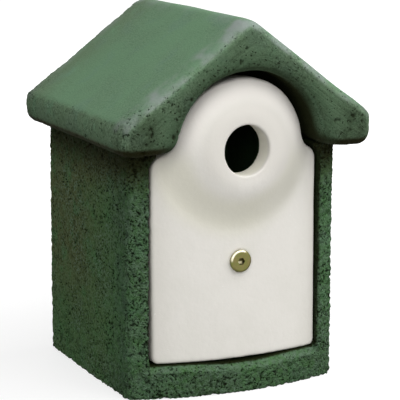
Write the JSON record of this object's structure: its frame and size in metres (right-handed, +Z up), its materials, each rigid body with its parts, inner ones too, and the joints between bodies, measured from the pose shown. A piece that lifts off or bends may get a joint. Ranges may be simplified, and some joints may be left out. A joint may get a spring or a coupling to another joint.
{
  "type": "bird nest box",
  "caption": "Cast wood-concrete bird nest box with a gable roof and a bolted lift-off front panel with a domed round entrance, hung from a strap on its back.",
  "frame": {"origin": "on the surface it stands on, under the middle of the whole box, roof overhangs included", "axes": "+X to the right of someone who faces the panel, +Y towards the back wall and its hanger, +Z up"},
  "size_m": [0.17, 0.1714, 0.2347],
  "materials": {
    "body_cast": "matte",
    "roof_cast": "matte",
    "mortar": "matte",
    "panel_cast": "matte",
    "nylon": "satin",
    "yellow_zinc": "satin",
    "bright_zinc": "satin"
  },
  "bodies": {
    "box": {"body_shell": "body_cast", "mortar_bed": "mortar", "roof": "roof_cast", "crossbar": "bright_zinc", "crossbar_nut": "bright_zinc", "hanger_strap": "bright_zinc", "hanger_screws": "bright_zinc", "hanger_plugs": "nylon"},
    "panel": {"front_panel": "panel_cast", "bolt_bush": "nylon"},
    "bolt": {"panel_bolt": "yellow_zinc", "bolt_retainer": "bright_zinc"}
  },
  "joints": [
    {"name": "panel_slide", "type": "slide", "parent": "box", "child": "panel", "axis": [0, -1, 0], "range_m": [0, 0.08]},
    {"name": "bolt_turn", "type": "hinge", "parent": "panel", "child": "bolt", "pos_m": [0, -0.06975, 0.084], "axis": [0, -1, 0], "continuous": true}
  ]
}
